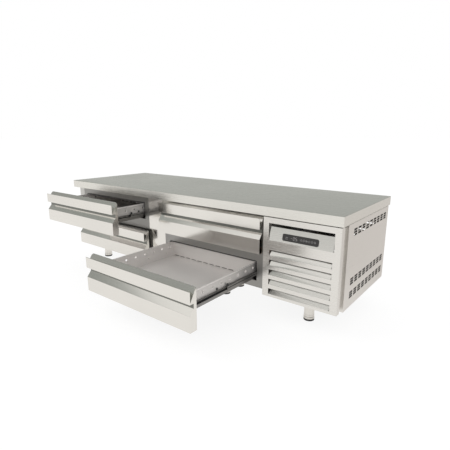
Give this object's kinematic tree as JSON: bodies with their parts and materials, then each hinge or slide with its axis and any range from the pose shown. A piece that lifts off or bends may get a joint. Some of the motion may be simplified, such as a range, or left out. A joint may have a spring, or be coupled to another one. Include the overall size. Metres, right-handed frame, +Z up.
{
  "type": "refrigerated chef base",
  "caption": "Low refrigerated counter with two columns of pull-out drawers on telescopic runners, a louvred machine compartment, adjustable legs and a flat steel worktop.",
  "frame": {"origin": "centre of the bounding box at floor level, in the pose of the picture with drawers open", "axes": "+X along the width towards the machine compartment, -Y towards the user who opens the drawers, +Z up"},
  "size_m": [2.12, 1.22, 0.61],
  "materials": {
    "stainless_outside": "brushed",
    "stainless_inside": "satin",
    "foam": "matt",
    "seal_rubber": "matt",
    "black_plastic": "gloss",
    "grey_plastic": "matt",
    "coil_aluminium": "satin",
    "black_paint": "satin",
    "copper": "satin"
  },
  "bodies": {
    "cabinet": {"worktop": "stainless_outside", "outer_casing": "stainless_outside", "insulation_foam": "foam", "bay_liner_left": "stainless_inside", "bay_liner_right": "stainless_inside", "face_frame_left": "stainless_inside", "face_frame_right": "stainless_inside", "mullion_cover": "stainless_outside", "runner_rack_left_l": "stainless_inside", "runner_rack_left_r": "stainless_inside", "runner_rack_right_l": "stainless_inside", "runner_rack_right_r": "stainless_inside", "tech_panel": "stainless_outside", "controller": "black_plastic", "side_panel": "stainless_outside", "base_tray": "stainless_inside", "rear_grille": "stainless_outside", "mains_gland": "black_plastic", "compressor": "black_paint", "condenser_coil": "coil_aluminium", "condenser_fan_shroud": "black_paint", "discharge_pipe": "copper", "electrical_box": "grey_plastic", "evaporator_coil": "coil_aluminium", "drip_tray": "stainless_inside", "evaporator_fan_frame": "black_paint", "leg_front_left": "stainless_outside", "leg_back_left": "stainless_outside", "leg_front_middle": "stainless_outside", "leg_inner_middle": "stainless_outside", "leg_front_right": "stainless_outside", "leg_back_right": "stainless_outside"},
    "drawer_upper_left": {"drawer_front_upper_left": "stainless_outside", "drawer_gasket_upper_left": "seal_rubber", "drawer_box_upper_left": "stainless_inside"},
    "runner_upper_left": {"runner_middle_upper_left_l": "stainless_inside", "runner_middle_upper_left_r": "stainless_inside"},
    "drawer_lower_left": {"drawer_front_lower_left": "stainless_outside", "drawer_gasket_lower_left": "seal_rubber", "drawer_box_lower_left": "stainless_inside"},
    "runner_lower_left": {"runner_middle_lower_left_l": "stainless_inside", "runner_middle_lower_left_r": "stainless_inside"},
    "drawer_upper_right": {"drawer_front_upper_right": "stainless_outside", "drawer_gasket_upper_right": "seal_rubber", "drawer_box_upper_right": "stainless_inside"},
    "runner_upper_right": {"runner_middle_upper_right_l": "stainless_inside", "runner_middle_upper_right_r": "stainless_inside"},
    "drawer_lower_right": {"drawer_front_lower_right": "stainless_outside", "drawer_gasket_lower_right": "seal_rubber", "drawer_box_lower_right": "stainless_inside"},
    "runner_lower_right": {"runner_middle_lower_right_l": "stainless_inside", "runner_middle_lower_right_r": "stainless_inside"},
    "condenser_fan": {"condenser_fan": "grey_plastic"},
    "evaporator_fan": {"evaporator_fan": "grey_plastic"},
    "foot_front_left": {"foot_front_left": "stainless_outside"},
    "foot_back_left": {"foot_back_left": "stainless_outside"},
    "foot_front_middle": {"foot_front_middle": "stainless_outside"},
    "foot_inner_middle": {"foot_inner_middle": "stainless_outside"},
    "foot_front_right": {"foot_front_right": "stainless_outside"},
    "foot_back_right": {"foot_back_right": "stainless_outside"}
  },
  "joints": [
    {"name": "upper_left_drawer_slide", "type": "slide", "parent": "cabinet", "child": "drawer_upper_left", "axis": [0, -1, 0], "range_m": [-0.242, 0.308]},
    {"name": "upper_left_runner_slide", "type": "slide", "parent": "cabinet", "child": "runner_upper_left", "axis": [0, -1, 0], "range_m": [-0.121, 0.154]},
    {"name": "lower_left_drawer_slide", "type": "slide", "parent": "cabinet", "child": "drawer_lower_left", "axis": [0, -1, 0], "range_m": [-0.0099, 0.5401]},
    {"name": "lower_left_runner_slide", "type": "slide", "parent": "cabinet", "child": "runner_lower_left", "axis": [0, -1, 0], "range_m": [-0.00495, 0.27005]},
    {"name": "upper_right_drawer_slide", "type": "slide", "parent": "cabinet", "child": "drawer_upper_right", "axis": [0, -1, 0], "range_m": [0, 0.55]},
    {"name": "upper_right_runner_slide", "type": "slide", "parent": "cabinet", "child": "runner_upper_right", "axis": [0, -1, 0], "range_m": [0, 0.275]},
    {"name": "lower_right_drawer_slide", "type": "slide", "parent": "cabinet", "child": "drawer_lower_right", "axis": [0, -1, 0], "range_m": [-0.52002, 0.02997]},
    {"name": "lower_right_runner_slide", "type": "slide", "parent": "cabinet", "child": "runner_lower_right", "axis": [0, -1, 0], "range_m": [-0.26001, 0.01499]},
    {"name": "condenser_fan_spin", "type": "hinge", "parent": "cabinet", "child": "condenser_fan", "pos_m": [0.8485, 0.04931, 0.26805], "axis": [0, 1, 0], "continuous": true},
    {"name": "evaporator_fan_spin", "type": "hinge", "parent": "cabinet", "child": "evaporator_fan", "pos_m": [-0.191, 0.28977, 0.30218], "axis": [0, 1, 0], "continuous": true},
    {"name": "foot_front_left_height", "type": "slide", "parent": "cabinet", "child": "foot_front_left", "axis": [0, 0, -1], "range_m": [0, 0.05]},
    {"name": "foot_back_left_height", "type": "slide", "parent": "cabinet", "child": "foot_back_left", "axis": [0, 0, -1], "range_m": [0, 0.05]},
    {"name": "foot_front_middle_height", "type": "slide", "parent": "cabinet", "child": "foot_front_middle", "axis": [0, 0, -1], "range_m": [0, 0.05]},
    {"name": "foot_inner_middle_height", "type": "slide", "parent": "cabinet", "child": "foot_inner_middle", "axis": [0, 0, -1], "range_m": [0, 0.05]},
    {"name": "foot_front_right_height", "type": "slide", "parent": "cabinet", "child": "foot_front_right", "axis": [0, 0, -1], "range_m": [0, 0.05]},
    {"name": "foot_back_right_height", "type": "slide", "parent": "cabinet", "child": "foot_back_right", "axis": [0, 0, -1], "range_m": [0, 0.05]}
  ],
  "couplings": [
    {"joint": "upper_left_runner_slide", "follows": "upper_left_drawer_slide", "ratio": 0.5},
    {"joint": "lower_left_runner_slide", "follows": "lower_left_drawer_slide", "ratio": 0.5},
    {"joint": "upper_right_runner_slide", "follows": "upper_right_drawer_slide", "ratio": 0.5},
    {"joint": "lower_right_runner_slide", "follows": "lower_right_drawer_slide", "ratio": 0.5}
  ]
}
